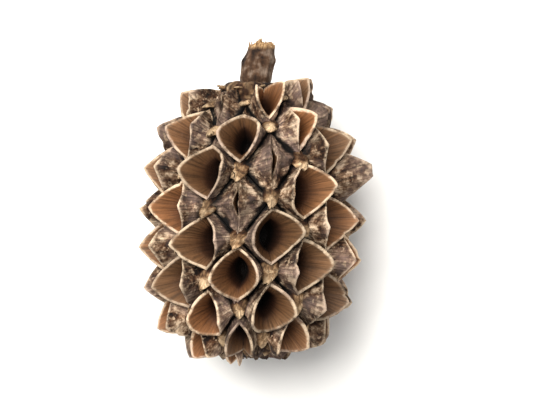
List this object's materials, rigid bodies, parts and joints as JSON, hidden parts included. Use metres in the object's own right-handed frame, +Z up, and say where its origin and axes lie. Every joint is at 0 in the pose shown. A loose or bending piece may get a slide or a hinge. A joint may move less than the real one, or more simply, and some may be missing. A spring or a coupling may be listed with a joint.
{
  "type": "casuarina cone",
  "caption": "Dry, open casuarina (she-oak) cone with gaping woody valves in alternating whorls and a short stalk, lying on its side.",
  "frame": {"origin": "on the surface the cone lies on, under the middle of its bounding box", "axes": "+Z up, +Y along the cone's axis from its tip to its stalk, +X to the right when looking along +Y"},
  "size_m": [0.0178, 0.0237, 0.0161],
  "materials": {
    "cone_wood": "dry, matt to satin brown wood, weathered grey-brown outside, orange-brown inside the valves, with pale worn edges",
    "stalk_bark": "dry dark brown bark, torn tan wood at the broken end"
  },
  "bodies": {
    "root": {"cone_head": "cone_wood", "stalk": "stalk_bark"}
  },
  "joints": []
}
